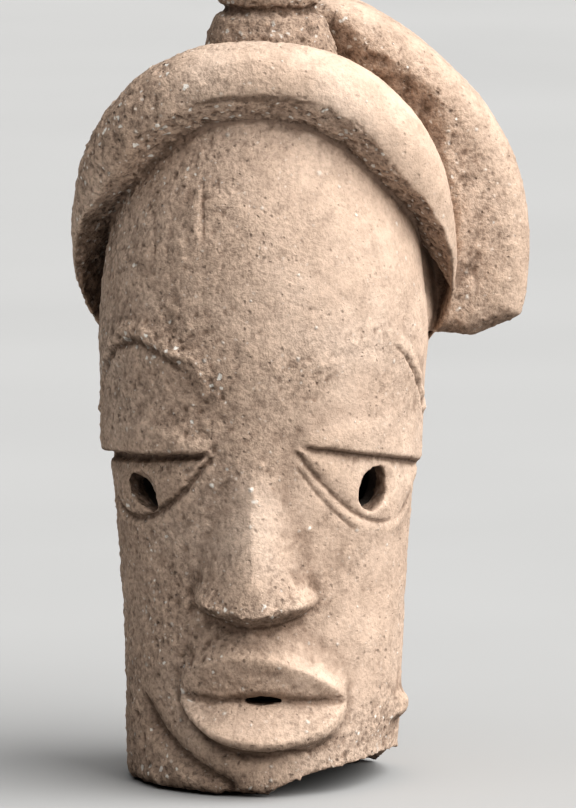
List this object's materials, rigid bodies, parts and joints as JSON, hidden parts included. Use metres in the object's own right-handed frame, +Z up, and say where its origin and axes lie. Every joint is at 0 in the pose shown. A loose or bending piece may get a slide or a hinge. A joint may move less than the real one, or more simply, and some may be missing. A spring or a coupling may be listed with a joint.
{
  "type": "terracotta head sculpture",
  "caption": "Tall hollow fired-clay head with a thick roll of hair, a bun, a side wing of hair, heavy straight lids, pierced pupils, broad nose and full lips; stands on its open base.",
  "frame": {"origin": "middle of the footprint box, at the level of the base; the head's own upright axis passes 15 mm to -X of it", "axes": "+Z up, the face looks along -Y, the hair wing stands out to +X"},
  "size_m": [0.1984, 0.1556, 0.35],
  "materials": {
    "fired_clay": "matte, gritty and weathered"
  },
  "bodies": {
    "root": {"terracotta_head": "fired_clay"}
  },
  "joints": []
}
